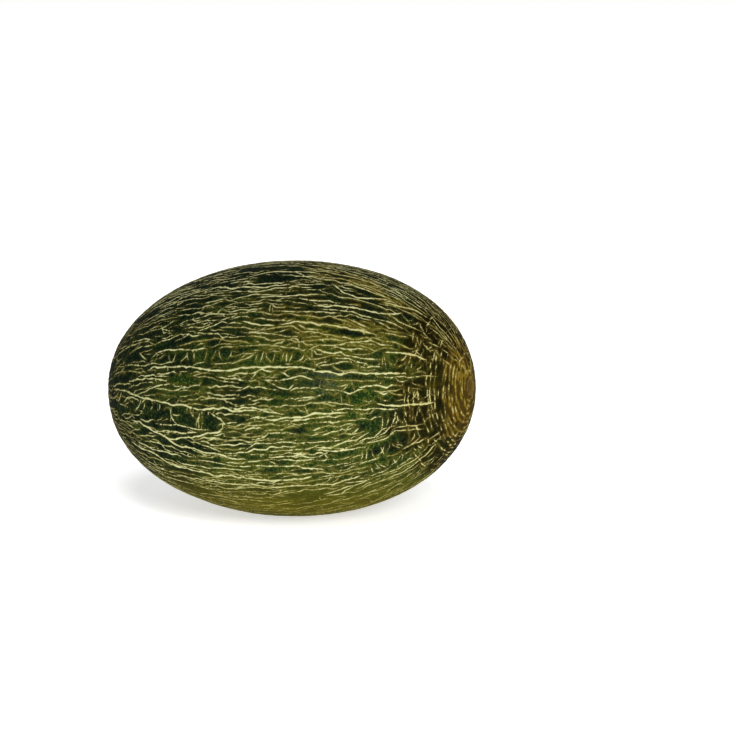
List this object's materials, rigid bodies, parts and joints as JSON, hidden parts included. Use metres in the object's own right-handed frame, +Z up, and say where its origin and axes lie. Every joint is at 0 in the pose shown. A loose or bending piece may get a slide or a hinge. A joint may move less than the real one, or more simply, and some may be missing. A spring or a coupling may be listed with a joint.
{
  "type": "whole piel de sapo melon",
  "caption": "Whole oval dark green melon with a raised corky net of long wavy strands, lying on its side on a small flat spot.",
  "frame": {"origin": "on the ground, under the middle of the melon's bounding box", "axes": "+X along the melon from stem end to blossom end (its longest extent, tipped up 2 degrees), +Y away from the side that was seen, +Z up"},
  "size_m": [0.2496, 0.165, 0.164],
  "materials": {
    "netted_rind": null
  },
  "bodies": {
    "root": {"melon": "netted_rind"}
  },
  "joints": []
}
